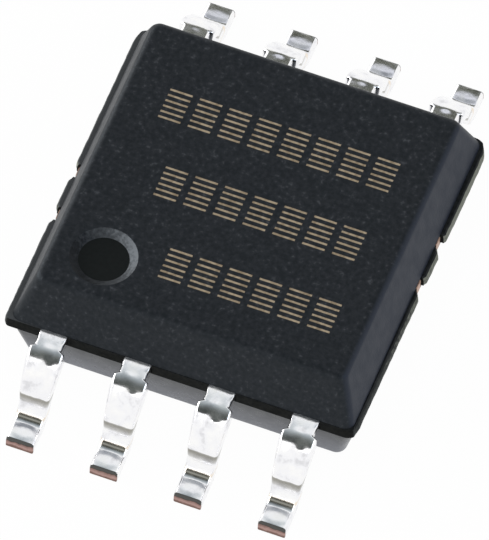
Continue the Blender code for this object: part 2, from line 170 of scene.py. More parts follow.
# How the formed leads differ from plain bends
SHOULDER_STRAIGHT = 0.01e-3
ROOT_TURN_LENGTH = 0.04e-3
ROOT_TURN = math.radians(6)
SHOULDER_SAG_LENGTH = 0.20e-3
SHOULDER_SAG = math.radians(7)
SLOPE_TOP_PITCH = math.radians(42)
SLOPE_BOTTOM_PITCH = math.radians(58)
SLOPE_LENGTH = 0.43e-3
KNEE_LENGTH = 0.09e-3
SHIN_PITCH = math.radians(78)
FOOT_PITCH = math.radians(4.5)
EDGE_EASE_INSIDE = 0.018e-3
TOP_EDGE_ROLL = 0.050e-3
UNDER_EDGE_ROLL = 0.020e-3
ROLL_GROWS_OVER = 0.12e-3
SECTION_CORNER_STEPS = 5
SECTION_ACROSS_STEPS = 14
STATION_SPACING = 0.012e-3
# A dark band across the shin under the knee, painted in: a painted reflection.
SHIN_REFLECTION_BAND_BOTTOM = 0.40e-3
SHIN_REFLECTION_BAND_TOP = 0.60e-3
SHIN_REFLECTION_BAND_COLOUR = (0.22, 0.21, 0.17)
# A brown band across the heel, painted in: a painted tint of the reflected lines there.
HEEL_REFLECTION_TINT_BOTTOM = 0.238e-3
HEEL_REFLECTION_TINT_TOP = 0.290e-3
HEEL_REFLECTION_TINT_COLOUR = (0.88, 0.79, 0.68)
TIP_DROOP = 0.034e-3
TIP_DROOP_ANGLES = range(15, 90, 15)
TIP_SLANT = 0.030e-3
SHEARED_ZONE = 0.030e-3
PAD_HEIGHT = 0.008e-3
PAD_FROM_TIP = 0.185e-3
PAD_LENGTH = 0.12e-3
PAD_WIDTH = 0.19e-3
PAD_WANDER = 0.02e-3
HEEL_RIDGE_HEIGHT = 0.0055e-3
HEEL_RIDGE_BEFORE_FOOT = 0.12e-3
HEEL_RIDGE_LENGTH = 0.032e-3
HEEL_SPACING = 0.006e-3
HEEL_FINE_PART = 0.24e-3
CLOSEST_STATIONS = 3e-6

# Swellings on the shoulder: (from the body, aside, height, reach along, reach aside)
SWELLINGS = (
    (0.25e-3, 0.0, 0.011e-3, 0.07e-3, 0.11e-3), (0.43e-3, 0.075e-3, 0.014e-3, 0.06e-3, 0.065e-3),
    (0.24e-3, 0.19e-3, 0.008e-3, 0.08e-3, 0.05e-3),
)
SWELLING_WANDER = 0.05e-3
SWELLING_VARIETY = 0.8

# Seeds of the noises that tell the leads apart: (step from lead to lead, layer)
PAD_SEED = (3.7, 0.5)
SWELLING_PLACE_SEED = (2.3, 0.5)
SWELLING_HEIGHT_SEED = (1.9, 7.5)

# Order of the body's materials, and the limits by which its faces are told apart
SKIN, PIN_FLOOR, BAND, PIN_SIDE, LOWER_WALL, LEDGE, TRIMMED, MARKED = range(8)
LEVEL_FACE = 0.9
END_FACE = 0.7
HEIGHT_TOLERANCE = 1e-6
DIMPLE_ZONE_RADIUS = 1.05 * DIMPLE_RIM_RADIUS
DIMPLE_ZONE_BOTTOM = BODY_TOP - 1.5 * DIMPLE_DEPTH

# Tint of the compound's shine, and the way that the side of the dimple with the painted highlight
# faces
COMPOUND_TINT = (0.76, 0.88, 1.0)
DIMPLE_PAINTED_HIGHLIGHT_SIDE = Vector((0.5, 0.33, 0.0))

# Cells in a metre of the noises in the finishes
COMPOUND_GRAIN = 16000
COMPOUND_PATCHES = 5000
COMPOUND_FINE_BUMP = 32000
COMPOUND_COARSE_BUMP = 9000
DIMPLE_PATCHES = 22000
TRIMMED_PATCHES = 14000
TIN_CLOUDS = 6000
TIN_WRINKLES = 9000
TIN_DRAWN_LINES = 26000
# Wander of the painted reflection band on the shin
SHIN_REFLECTION_BAND_WANDER = 8000
SHEARED_SMEAR = 9000
SHEARED_LINES = 20000
COPPER_CLOUDS = 9000
COPPER_PITS = 22000

# Camera at the photograph's angle; pixels are counted in its frame of 489 by 540
IMAGE_SIZE = (489, 540)
CAMERA_AZIMUTH = math.radians(18.97)
CAMERA_ELEVATION = math.radians(56.78)
CAMERA_ROLL = math.radians(2.29)
CAMERA_DISTANCE = 0.250
PIXELS_PER_METRE = 70540
AIM_HEIGHT = 1.1e-3
AIM_PIXEL = (247.9, 228.3)
SENSOR_WIDTH = 36.0
FAR_CLIP = 10.0

# Light
WHITE = (1.0, 1.0, 1.0)
COOL_WHITE = (0.60, 0.76, 1.0)
WHITE_SEEN = 1.0
WORLD_LIGHT = 0.45
FLOOR_SIZE = 0.8
FLOOR_COLOUR = (0.86, 0.86, 0.86)
FLOOR_SEEN_WHITE = 0.975
CARD_HEIGHT = 0.4
CARD_FRONT_ELEVATION = math.radians(46)
CARD_BACK_ELEVATION = math.radians(30)
CARD_HALF_SPREAD = math.radians(37)
CARD_SHADES = (
    (0.0, (0.045, 0.05, 0.045)), (0.16, (0.09, 0.10, 0.095)), (0.24, (0.17, 0.185, 0.185)),
    (0.32, (0.27, 0.30, 0.31)), (0.40, (0.42, 0.46, 0.48)), (0.448, (0.62, 0.66, 0.68)),
    (0.48, (0.95, 0.97, 0.98)), (0.528, (1.0, 1.0, 1.0)), (0.56, (0.32, 0.34, 0.37)),
    (0.62, (0.32, 0.34, 0.37)), (0.648, (0.85, 0.87, 0.94)), (0.69, (0.85, 0.87, 0.94)),
    (0.715, (0.10, 0.105, 0.085)), (1.0, (0.15, 0.155, 0.13)),
)

# Lamps round the chip: (name, azimuth, elevation, size, radiance, colour, seen in shiny things)
LAMP_DISTANCE = 0.5
LAMPS = (
    ("key", 0, 80, (0.40, 0.40), 1.35, WHITE, False),
    ("left_rear_box", -121, 6, (0.24, 0.16), 3.2, WHITE, True),
    ("left_box", -90, 17, (0.24, 0.16), 8.5, WHITE, True),
    ("left_front_box", -57, 29, (0.24, 0.15), 3.8, WHITE, True),
    ("front_box", 12, 41, (0.34, 0.06), 2.2, WHITE, True),
    ("right_box", 80, 34, (0.22, 0.14), 3.3, COOL_WHITE, True),
)


def smooth_step(value):
    """0 below 0, 1 above 1, and an even curve between."""
    value = min(1.0, max(0.0, value))
    return value * value * (3 - 2 * value)


# Materials


def new_material(name):
    """A material with its node tree and its shader."""
    material = bpy.data.materials.new(name)
    material.use_nodes = True
    return material, material.node_tree, material.node_tree.nodes["Principled BSDF"]


def noise_value(tree, scale, detail=2.0, stretch=(1.0, 1.0, 1.0)):
    """A noise over the object's own coordinates; scale counts its cells in a metre."""
    coordinates = tree.nodes.new("ShaderNodeTexCoord")
    mapping = tree.nodes.new("ShaderNodeMapping")
    texture = tree.nodes.new("ShaderNodeTexNoise")
    mapping.inputs["Scale"].default_value = stretch
    texture.inputs["Scale"].default_value = scale
    texture.inputs["Detail"].default_value = detail
    tree.links.new(coordinates.outputs["Object"], mapping.inputs["Vector"])
    tree.links.new(mapping.outputs["Vector"], texture.inputs["Vector"])
    return texture.outputs["Fac"]


def axis_value(tree, axis, start, end):
    """0 at one place along an axis of the object and 1 at another."""
    coordinates = tree.nodes.new("ShaderNodeTexCoord")
    parts = tree.nodes.new("ShaderNodeSeparateXYZ")
    span = tree.nodes.new("ShaderNodeMapRange")
    span.inputs["From Min"].default_value = start
    span.inputs["From Max"].default_value = end
    tree.links.new(coordinates.outputs["Object"], parts.inputs["Vector"])
    tree.links.new(parts.outputs[axis], span.inputs["Value"])
    return span.outputs["Result"]


def math_value(tree, operation, first, second):
    """Two values put together, each a socket or a number."""
    node = tree.nodes.new("ShaderNodeMath")
    node.operation = operation
    for socket, value in zip(node.inputs, (first, second)):
        if isinstance(value, (int, float)):
            socket.default_value = value
        else:
            tree.links.new(value, socket)
    return node.outputs["Value"]


def ramp(tree, value, stops):
    """A colour ramp over a value; stops are (place, colour or grey)."""
    node = tree.nodes.new("ShaderNodeValToRGB")
    elements = node.color_ramp.elements
    while len(elements) < len(stops):
        elements.new(0.5)
    for element, (place, colour) in zip(elements, stops):
        element.position = place
        grey = isinstance(colour, (int, float))
        element.color = (colour, colour, colour, 1.0) if grey else (*colour, 1.0)
    tree.links.new(value, node.inputs["Fac"])
    return node.outputs["Color"]


def mix_colour(tree, share, first, second):
    """From one colour, a socket, to another, a fixed one, by a share."""
    node = tree.nodes.new("ShaderNodeMix")
    node.data_type = "RGBA"
    tree.links.new(share, node.inputs["Factor"])
    colours = [socket for socket in node.inputs if socket.type == "RGBA"]
    tree.links.new(first, colours[0])
    colours[1].default_value = (*second, 1.0)
    return next(socket for socket in node.outputs if socket.type == "RGBA")


def side_value(tree, centre, direction):
    """How far a point lies from a centre in a direction of the object."""
    coordinates = tree.nodes.new("ShaderNodeTexCoord")
    away = tree.nodes.new("ShaderNodeVectorMath")
    away.operation = "SUBTRACT"
    away.inputs[1].default_value = centre
    tree.links.new(coordinates.outputs["Object"], away.inputs[0])
    share = tree.nodes.new("ShaderNodeVectorMath")
    share.operation = "DOT_PRODUCT"
    share.inputs[1].default_value = direction
    tree.links.new(away.outputs["Vector"], share.inputs[0])
    return share.outputs["Value"]


def add_bump(tree, shader, layers):
    """Stack bumps on a shader; layers are (height value, distance)."""
    normal = None
    for height, distance in layers:
        node = tree.nodes.new("ShaderNodeBump")
        node.inputs["Distance"].default_value = distance
        tree.links.new(height, node.inputs["Height"])
        if normal:
            tree.links.new(normal, node.inputs["Normal"])
        normal = node.outputs["Normal"]
    tree.links.new(normal, shader.inputs["Normal"])


def compound_material(name, dark, light, roughness, specular, bump, speck=None, painted_light=None):
    """Black moulding compound: a fine speckle, and a spark-eroded or polished surface.

    Roughness goes from low to high, bump is (fine, coarse), speck is the colour of its brightest
    grains, and the last argument is painted light: (function that says where, painted colour there).
    """
    material, tree, shader = new_material(name)
    grain = noise_value(tree, COMPOUND_GRAIN, detail=3.0)
    stops = [(0.36, dark), (0.62, light)]
    if speck:
        stops.append((0.74, speck))
    colour = ramp(tree, grain, stops)
    # Painted light: a paler colour mixed in where light or a reflection falls.
    if painted_light:
        share_of, painted_light_colour = painted_light
        colour = mix_colour(tree, share_of(tree), colour, painted_light_colour)
    tree.links.new(colour, shader.inputs["Base Color"])
    patches = noise_value(tree, COMPOUND_PATCHES, detail=2.0)
    low, high = roughness
    tree.links.new(ramp(tree, patches, [(0.35, low), (0.65, high)]), shader.inputs["Roughness"])
    shader.inputs["Specular IOR Level"].default_value = specular
    shader.inputs["Specular Tint"].default_value = (*COMPOUND_TINT, 1.0)
    fine, coarse = bump
    add_bump(tree, shader, [
        (noise_value(tree, COMPOUND_FINE_BUMP, detail=3.0), fine),
        (noise_value(tree, COMPOUND_COARSE_BUMP, detail=2.0), coarse),
    ])
    return material


def painted_dimple_highlight(tree):
    """How pale the dimple's wall is painted: a painted highlight, most on the side that faces the
    lamps, in broken patches.
    """
    side = side_value(tree, DIMPLE_CENTRE, DIMPLE_PAINTED_HIGHLIGHT_SIDE / DIMPLE_RIM_RADIUS)
    broken = math_value(tree, "MULTIPLY", noise_value(tree, DIMPLE_PATCHES, detail=3.0), 0.9)
    level = math_value(tree, "ADD", side, broken)
    return ramp(tree, level, [(0.05, 0.0), (0.35, 0.14), (0.70, 0.30), (1.0, 0.75)])


def painted_reflection_towards_rear(tree):
    """How pale the cut edge of the flange is painted: dark at the front, paler towards the rear, a
    painted reflection.
    """
    side = side_value(tree, (0.0, -BODY_SIDE, 0.0), (0.0, 0.5 / BODY_SIDE, 0.0))
    broken = math_value(tree, "MULTIPLY", noise_value(tree, TRIMMED_PATCHES), 0.8)
    level = math_value(tree, "ADD", side, broken)
    return ramp(tree, level, [(0.65, 0.0), (1.0, 0.85)])


def painted_side_lamp_light_on_left(tree):
    """1 at the left end of the body, where the side lamp's light on the flange is painted in, and 0
    at the right.
    """
    side = side_value(tree, (0.0, 0.0, 0.0), (-1 / BODY_LENGTH, 0.0, 0.0))
    return ramp(tree, side, [(0.30, 0.0), (0.50, 0.85)])


def painted_cool_light_on_right_wall(tree):
    """1 on the wall at the right-hand end, where a cooler light is painted in, and 0 on the rest."""
    outward = (1 / TOP_EDGE_EASE, 0.0, math.tan(UPPER_END_DRAFT) / TOP_EDGE_EASE)
    from_wall = side_value(tree, (TOP_HALF_LENGTH - TOP_EDGE_EASE, 0.0, BODY_TOP), outward)
    return ramp(tree, from_wall, [(0.3, 0.0), (0.9, 1.0)])


def painted_floor_reflection_on_lower_wall(tree):
    """How pale the lower wall is painted: more towards its foot, a painted reflection of the light
    from the floor.
    """
    return ramp(tree, axis_value(tree, "Z", BAND_BOTTOM, STAND_OFF), [(0.15, 0.0), (0.95, 1.0)])


def tin_material():
    """Matt to bright pale grey tin, wrinkled and drawn, with painted reflection: a dark shin band and
    a brown heel tint.
    """
    material, tree, shader = new_material("tin_plating")
    shader.inputs["Metallic"].default_value = 1.0
    cloud = noise_value(tree, TIN_CLOUDS, detail=3.0)
    # Painted dark band across the shin: a painted reflection.
    wander = math_value(tree, "MULTIPLY", noise_value(tree, SHIN_REFLECTION_BAND_WANDER, detail=3.0), 0.2)
    level = math_value(tree, "ADD", axis_value(tree, "Z", SHIN_REFLECTION_BAND_BOTTOM, SHIN_REFLECTION_BAND_TOP), wander)
    painted_shin_band = ramp(tree, level, [
        (0.22, 0.0), (0.42, 0.50), (0.70, 0.76), (0.86, 0.85), (0.95, 0.7), (1.0, 0.0),
    ])
    # Painted brown tint across the heel, colouring the reflected lines there: painted reflection.
    heel = ramp(tree, axis_value(tree, "Z", HEEL_REFLECTION_TINT_BOTTOM, HEEL_REFLECTION_TINT_TOP), [
        (0.0, 0.0), (0.2, 1.0), (0.65, 0.9), (1.0, 0.0),
    ])
    tin = ramp(tree, cloud, [
        (0.32, (0.74, 0.74, 0.76)), (0.44, (0.91, 0.91, 0.93)), (0.7, (0.97, 0.965, 0.955)),
    ])
    heel_reflection_tinted = mix_colour(tree, heel, tin, HEEL_REFLECTION_TINT_COLOUR)
    tree.links.new(mix_colour(tree, painted_shin_band, heel_reflection_tinted, SHIN_REFLECTION_BAND_COLOUR), shader.inputs["Base Color"])
    tree.links.new(ramp(tree, cloud, [(0.3, 0.11), (0.7, 0.20)]), shader.inputs["Roughness"])
    add_bump(tree, shader, [
        (noise_value(tree, TIN_WRINKLES, detail=3.0), 1.2e-6),
        (noise_value(tree, TIN_DRAWN_LINES, detail=2.0, stretch=(2.0, 0.5, 0.5)), 0.5e-6),
    ])
    return material


def cut_end_material():
    """The sheared tip of a lead: bare copper, under a dark smear of tin along its upper edge."""
    material, tree, shader = new_material("sheared_tip")
    shader.inputs["Metallic"].default_value = 1.0
    wander = math_value(tree, "MULTIPLY", noise_value(tree, SHEARED_SMEAR, detail=3.0), 0.5)
    level = math_value(tree, "ADD", axis_value(tree, "Z", 0.0, STRIP_THICKNESS), wander)
    colour = ramp(tree, level, [
        (0.42, (0.20, 0.12, 0.10)), (0.60, (0.46, 0.30, 0.27)), (0.88, (0.24, 0.15, 0.13)),
        (0.95, (0.05, 0.045, 0.04)), (1.0, (0.09, 0.09, 0.085)),
    ])
    tree.links.new(colour, shader.inputs["Base Color"])
    shader.inputs["Roughness"].default_value = 0.42
    lines = noise_value(tree, SHEARED_LINES, detail=3.0, stretch=(3.0, 1.0, 0.4))
    add_bump(tree, shader, [(lines, 3.0e-6)])
    return material


def copper_material():
    """Bare copper strip, as at the cut ends of the tie bars."""
    material, tree, shader = new_material("copper_strip")
    shader.inputs["Metallic"].default_value = 1.0
    cloud = noise_value(tree, COPPER_CLOUDS, detail=3.0)
    colour = ramp(tree, cloud, [(0.35, (0.34, 0.20, 0.14)), (0.7, (0.56, 0.38, 0.29))])
    tree.links.new(colour, shader.inputs["Base Color"])
    tree.links.new(ramp(tree, cloud, [(0.3, 0.34), (0.7, 0.5)]), shader.inputs["Roughness"])
    add_bump(tree, shader, [(noise_value(tree, COPPER_PITS, detail=3.0), 1.5e-6)])
    return material


def plain_layer_material(name, dark, light, roughness, metallic, scale):
    """A clouded finish for the pieces inside the body; scale counts its cells in a metre."""
    material, tree, shader = new_material(name)
    shader.inputs["Metallic"].default_value = metallic
    cloud = noise_value(tree, scale, detail=3.0)
    tree.links.new(ramp(tree, cloud, [(0.35, dark), (0.65, light)]), shader.inputs["Base Color"])
    low, high = roughness
    tree.links.new(ramp(tree, cloud, [(0.3, low), (0.7, high)]), shader.inputs["Roughness"])
    add_bump(tree, shader, [(noise_value(tree, 4 * scale, detail=2.0), 0.4e-6)])
    return material


# Meshes


def place(name, mesh):
    """A mesh as an object in the scene."""
    obj = bpy.data.objects.new(name, mesh)
    bpy.context.scene.collection.objects.link(obj)
    return obj


def mesh_from(bm, name, sharp_angle=SHARP_ANGLE):
    """A smooth mesh with sharp edges where its faces turn by more than an angle."""
    bmesh.ops.recalc_face_normals(bm, faces=bm.faces)
    mesh = bpy.data.meshes.new(name)
    bm.to_mesh(mesh)
    bm.free()
    mesh.shade_smooth()
    mesh.set_sharp_from_angle(angle=sharp_angle)
    return mesh


def loft(bm, rings):
    """A closed skin through rings of equally many points; returns the rings' vertices."""
    loops = [[bm.verts.new(point) for point in ring] for ring in rings]
    for lower, upper in zip(loops, loops[1:]):
        for here in range(len(lower)):
            after = (here + 1) % len(lower)
            bm.faces.new((lower[here], lower[after], upper[after], upper[here]))
    bm.faces.new(loops[0])
    bm.faces.new(loops[-1])
    bmesh.ops.recalc_face_normals(bm, faces=bm.faces)
    return loops


def ease_ring(bm, loop, width, steps):
    """Round the edges that run around one ring of a loft."""
    ring = set(loop)
    edges = [edge for edge in bm.edges if set(edge.verts) <= ring]
    bmesh.ops.bevel(bm, geom=edges, offset=width, segments=steps, profile=0.5, affect="EDGES")


def side_counts():
    """Steps along each side of the body, the same for every ring."""
    along = math.ceil(2 * FLANGE_END / SIDE_SPACING)
    across = math.ceil(2 * BODY_SIDE / SIDE_SPACING)
    return along, across


def body_ring(half_length, half_width, height, radius=CORNER_RADIUS, wear=None):
    """Points around the body at one height: arcs at its corners, even steps along its sides."""
    along, across = side_counts()
    centre_x, centre_y = half_length - radius, half_width - radius
    points = []
    for corner, (side_x, side_y) in enumerate(((1, 1), (-1, 1), (-1, -1), (1, -1))):
        for step in range(CORNER_STEPS + 1):
            angle = (corner + step / CORNER_STEPS) * math.pi / 2
            x = side_x * centre_x + radius * math.cos(angle)
            y = side_y * centre_y + radius * math.sin(angle)
            points.append(Vector((x, y, height)))
        start = points[-1]
        if corner % 2 == 0:
            steps, side = along, Vector((2 * side_x * centre_x, 0, 0))
        else:
            steps, side = across, Vector((0, 2 * side_y * centre_y, 0))
        points += [start.lerp(start - side, step / steps) for step in range(1, steps)]
    return [wear(point) for point in points] if wear else points


def tie_bar_places():
    """Two bars at each end: one on the middle line, one to the side, turned half round."""
    return [(end, across) for end in (1, -1) for across in (0.0, end * TIE_BAR_OFFSET)]


def worn_flange(set_in):
    """The flange's cut edge at one level: set in, wandering, and worn at corners and notches."""
    def wear(point):
        end, side = math.copysign(1, point.x), math.copysign(1, point.y)
        corner = Vector((
            end * (FLANGE_END - WORN_CORNER_RADIUS), side * (BODY_SIDE - WORN_CORNER_RADIUS), point.z,
        ))
        beyond = point - corner
        outside = end * beyond.x > 0 and side * beyond.y > 0 and beyond.length > WORN_CORNER_RADIUS
        if outside and (end, side) in WORN_CORNERS:
            point = corner + beyond.normalized() * WORN_CORNER_RADIUS
        share = smooth_step(1 - (FLANGE_END - abs(point.x)) / FLANGE_CORNER_RADIUS)
        value = noise.fractal(
            point * FLANGE_WEAR_SCALE, FLANGE_WEAR_DECAY, FLANGE_WEAR_STEP, FLANGE_WEAR_OCTAVES)
        worn = min(1.0, max(0.0, FLANGE_WEAR_MEAN + FLANGE_WEAR_SWING * value))
        inward = set_in + FLANGE_WEAR * worn
        if end > 0:
            inward += FLANGE_TAPER * smooth_step(0.5 - point.y / BODY_WIDTH)
        notch_half = TIE_BAR_WIDTH / 2 + NOTCH_MARGIN
        for notch_end, across in tie_bar_places():
            past = abs(point.y - across) - notch_half
            if notch_end == end and past < NOTCH_ROUNDING:
                inward += NOTCH_ROUNDING_DEPTH * (1 - smooth_step(past / NOTCH_ROUNDING))
        return point - Vector((end * inward * share, 0, 0))
    return wear


def set_in_rear(ring):
    """The rear side stands a little further in than the front, most at the parting band."""
    height = ring[0].z
    above = max(0.0, (height - BAND_TOP) / UPPER_HALF_HEIGHT)
    depth = REAR_SET_IN * (1 - TOP_SET_IN_LESS * above)
    return [point - Vector((0, depth * smooth_step(point.y / BODY_SIDE), 0)) for point in ring]


def between(start_ring, end_ring, share):
    """A ring part of the way from one ring to another."""
    return [start.lerp(end, share) for start, end in zip(start_ring, end_ring)]


def wall_shares(height, ease):
    """Where a wall gets rings, from its parting band to its eased edge."""
    return [WALL_STRIP_SHARE, 1 - (ease + RIM_STRIP) / height]


def body_skin():
    """The outside of the body, lofted from its underside to its top and eased round both."""
    lower_length, lower_width = BODY_LENGTH / 2 + LOWER_END_REACH, BODY_SIDE - LOWER_STEP
    upper_length, upper_width = BODY_LENGTH / 2, BODY_SIDE - SIDE_STEP
    base_length = lower_length - LOWER_HALF_HEIGHT * math.tan(LOWER_END_DRAFT)
    base_width = lower_width - LOWER_HALF_HEIGHT * math.tan(LOWER_SIDE_DRAFT)
    rings = [
        body_ring(base_length, base_width, STAND_OFF),
        body_ring(lower_length, lower_width, BAND_BOTTOM),
    ]
    for share, set_in in FLANGE_LEVELS:
        height = BAND_BOTTOM + share * STRIP_THICKNESS
        wear = worn_flange(set_in)
        rings.append(body_ring(FLANGE_END, BODY_SIDE, height, FLANGE_CORNER_RADIUS, wear))
    wall = body_ring(upper_length, upper_width, BAND_TOP)
    top = body_ring(TOP_HALF_LENGTH, TOP_HALF_WIDTH, BODY_TOP)
    upper_shares = wall_shares(UPPER_HALF_HEIGHT, TOP_EDGE_EASE)
    rings += [wall] + [between(wall, top, share) for share in upper_shares] + [top]
    lower_shares = wall_shares(LOWER_HALF_HEIGHT, BOTTOM_EDGE_EASE)
    rings[1:1] = [between(rings[1], rings[0], share) for share in reversed(lower_shares)]
    bm = bmesh.new()
    loops = loft(bm, [set_in_rear(ring) for ring in rings])
    ease_ring(bm, loops[-1], TOP_EDGE_EASE, EASE_STEPS)
    ease_ring(bm, loops[0], BOTTOM_EDGE_EASE, EASE_STEPS)
    largest = sorted(bm.faces, key=lambda face: -face.calc_area())[:2]
    for face in largest:
        bmesh.ops.inset_region(bm, faces=[face], thickness=RIM_STRIP, use_even_offset=True)
    return mesh_from(bm, "package_skin")


def dimple_cutter():
    """The turned shape of the ejector pin: a flat end, a small fillet and a flaring side."""
    slope = math.atan2(DIMPLE_DEPTH, DIMPLE_RIM_RADIUS - DIMPLE_FLOOR_RADIUS)
    profile = [Vector((0.0, -DIMPLE_DEPTH))]
    tangent = DIMPLE_FILLET * math.tan(slope / 2)
    centre = Vector((DIMPLE_FLOOR_RADIUS - tangent, -DIMPLE_DEPTH + DIMPLE_FILLET))
    for step in range(DIMPLE_FILLET_STEPS + 1):
        turn = slope * step / DIMPLE_FILLET_STEPS
        profile.append(centre + DIMPLE_FILLET * Vector((math.sin(turn), -math.cos(turn))))
    rim = Vector((DIMPLE_RIM_RADIUS + tangent, -DIMPLE_FILLET))
    for step in range(DIMPLE_FILLET_STEPS):
        turn = slope * (1 - step / DIMPLE_FILLET_STEPS)
        profile.append(rim + DIMPLE_FILLET * Vector((-math.sin(turn), math.cos(turn))))
    outside = DIMPLE_RIM_RADIUS + DIMPLE_CUTTER_REACH * tangent
    profile.append(Vector((outside, DIMPLE_FILLET / 2)))
    profile.append(Vector((outside, DIMPLE_DEPTH)))
    profile.append(Vector((0.0, DIMPLE_DEPTH)))
    bm = bmesh.new()
    verts = [bm.verts.new(DIMPLE_CENTRE + Vector((x, 0.0, z))) for x, z in profile]
    edges = [bm.edges.new(pair) for pair in zip(verts, verts[1:])]
    bmesh.ops.spin(
        bm, geom=verts + edges, cent=DIMPLE_CENTRE, axis=(0, 0, 1), angle=2 * math.pi,
        steps=DIMPLE_STEPS, use_merge=True,
    )
    bmesh.ops.remove_doubles(bm, verts=bm.verts, dist=DIMPLE_MERGE)
    return mesh_from(bm, "dimple_cutter")


def mark_cutters():
    """Shallow laser-cut lines that fill the blocks of the marking."""
    meshes = []
    spacing = (MARK_BLOCK_HEIGHT - MARK_LINE_WIDTH) / (MARK_LINES - 1)
    size = (MARK_BLOCK_LENGTH, MARK_LINE_WIDTH, 2 * MARK_DEPTH)
    for middle_x, row, count in MARK_ROWS:
        for block in range(count):
            along = middle_x + (block - (count - 1) / 2) * MARK_BLOCK_PITCH
            for line in range(MARK_LINES):
                across = row + (line - (MARK_LINES - 1) / 2) * spacing
                meshes.append(block_mesh(Vector((along, across, BODY_TOP)), size, "mark_line"))
    return meshes


def block_mesh(middle, size, name):
    """A plain block round a place."""
    bm = bmesh.new()
    matrix = Matrix.Translation(middle) @ Matrix.Diagonal((*size, 1.0))
    bmesh.ops.create_cube(bm, size=1.0, matrix=matrix)
    return mesh_from(bm, name)


def notch_cutter(end, across):
    """The block that opens the flange in front of one tie bar."""
    depth = FLANGE_END - NOTCH_END + NOTCH_MARGIN
    size = (depth, TIE_BAR_WIDTH + 2 * NOTCH_MARGIN, STRIP_THICKNESS + 2 * CLEARANCE)
    middle = Vector((end * (NOTCH_END + depth / 2), across, STRIP_MIDDLE))
    return block_mesh(middle, size, "notch_cutter")


def cavity_cutter(node):
    """A solid of the frame, grown by the room that the compound leaves round it."""
    bm = bmesh.new()
    bm.from_mesh(frame["nodes"][node].data)
    bmesh.ops.remove_doubles(bm, verts=bm.verts, dist=CAVITY_MERGE)
    bmesh.ops.recalc_face_normals(bm, faces=bm.faces)
    bm.normal_update()
    for vertex, grown in [(v, v.co + v.normal * CLEARANCE * v.calc_shell_factor()) for v in bm.verts]:
        vertex.co = grown
    return mesh_from(bm, "cavity_" + node)


def in_fixed_order(mesh, name):
    """The same mesh with its faces in an order that stays the same from run to run."""
    faces = []
    for polygon in mesh.polygons:
        corners = list(polygon.vertices)
        first = corners.index(min(corners))
        faces.append(corners[first:] + corners[:first])
    ordered = bpy.data.meshes.new(name)
    ordered.from_pydata([vertex.co for vertex in mesh.vertices], [], sorted(faces))
    bpy.data.meshes.remove(mesh)
    return ordered


def cut_body():
    """The body's mesh: its skin less the dimple, notches, marking and the pieces set into it."""
    cutters = bpy.data.collections.new("body_cutters")
    bpy.context.scene.collection.children.link(cutters)
    meshes = [dimple_cutter()] + [notch_cutter(*where) for where in tie_bar_places()] + mark_cutters()
    meshes += [cavity_cutter(node) for node in frame["nodes"] if node != "package_body"]
    for mesh in meshes:
        cutters.objects.link(bpy.data.objects.new(mesh.name, mesh))
    rough = place("package_rough", body_skin())
    cut = rough.modifiers.new("set-in pieces", "BOOLEAN")
    cut.operation = "DIFFERENCE"
    cut.solver = "MANIFOLD"
    cut.operand_type = "COLLECTION"
    cut.collection = cutters
    graph = bpy.context.evaluated_depsgraph_get()
    result = bpy.data.meshes.new_from_object(rough.evaluated_get(graph))
    mesh = in_fixed_order(result, "moulded_body")
    for obj in list(cutters.objects) + [rough]:
        bpy.data.objects.remove(obj, do_unlink=True)
    bpy.data.collections.remove(cutters)
    mesh.shade_smooth()
    mesh.set_sharp_from_angle(angle=SHARP_ANGLE)
    return mesh


def build_body(materials):
    """The moulded body in place of its solid."""
    mesh = cut_body()
    mesh.materials.clear()
    for material in materials:
        mesh.materials.append(material)
    for polygon in mesh.polygons:
        polygon.material_index = body_zone(polygon.center, polygon.normal)
    body = place("moulded_body", mesh)
    body.modifiers.new("flat faces stay flat", "WEIGHTED_NORMAL").keep_sharp = True
    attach(body, "root")
    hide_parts("package_body")


def body_zone(centre, normal):
    """The material of a face of the body, as an index into the body's materials."""
    from_dimple = (centre - DIMPLE_CENTRE).xy.length
    if from_dimple < DIMPLE_ZONE_RADIUS and centre.z > DIMPLE_ZONE_BOTTOM:
        if from_dimple < DIMPLE_FLOOR_RADIUS and normal.z > LEVEL_FACE:
            return PIN_FLOOR
        if normal.z < LEVEL_FACE:
            return PIN_SIDE
    if normal.z > LEVEL_FACE and abs(centre.z - BODY_TOP + MARK_DEPTH) < MARK_DEPTH / 5:
        if any(abs(centre.y - row) < MARK_BLOCK_HEIGHT / 2 for _, row, _ in MARK_ROWS):
            return MARKED
    if BAND_BOTTOM - HEIGHT_TOLERANCE < centre.z < BAND_TOP + HEIGHT_TOLERANCE:
        if abs(normal.z) > LEVEL_FACE:
            return LEDGE
        if abs(centre.x) < BODY_LENGTH / 2 - 2 * NOTCH_UNDERCUT or abs(normal.x) < END_FACE:
            return BAND
        return TRIMMED if centre.z < TRIMMED_TOP else LEDGE
    if centre.z < BAND_BOTTOM and normal.z > -LEVEL_FACE:
        return LOWER_WALL
    return SKIN


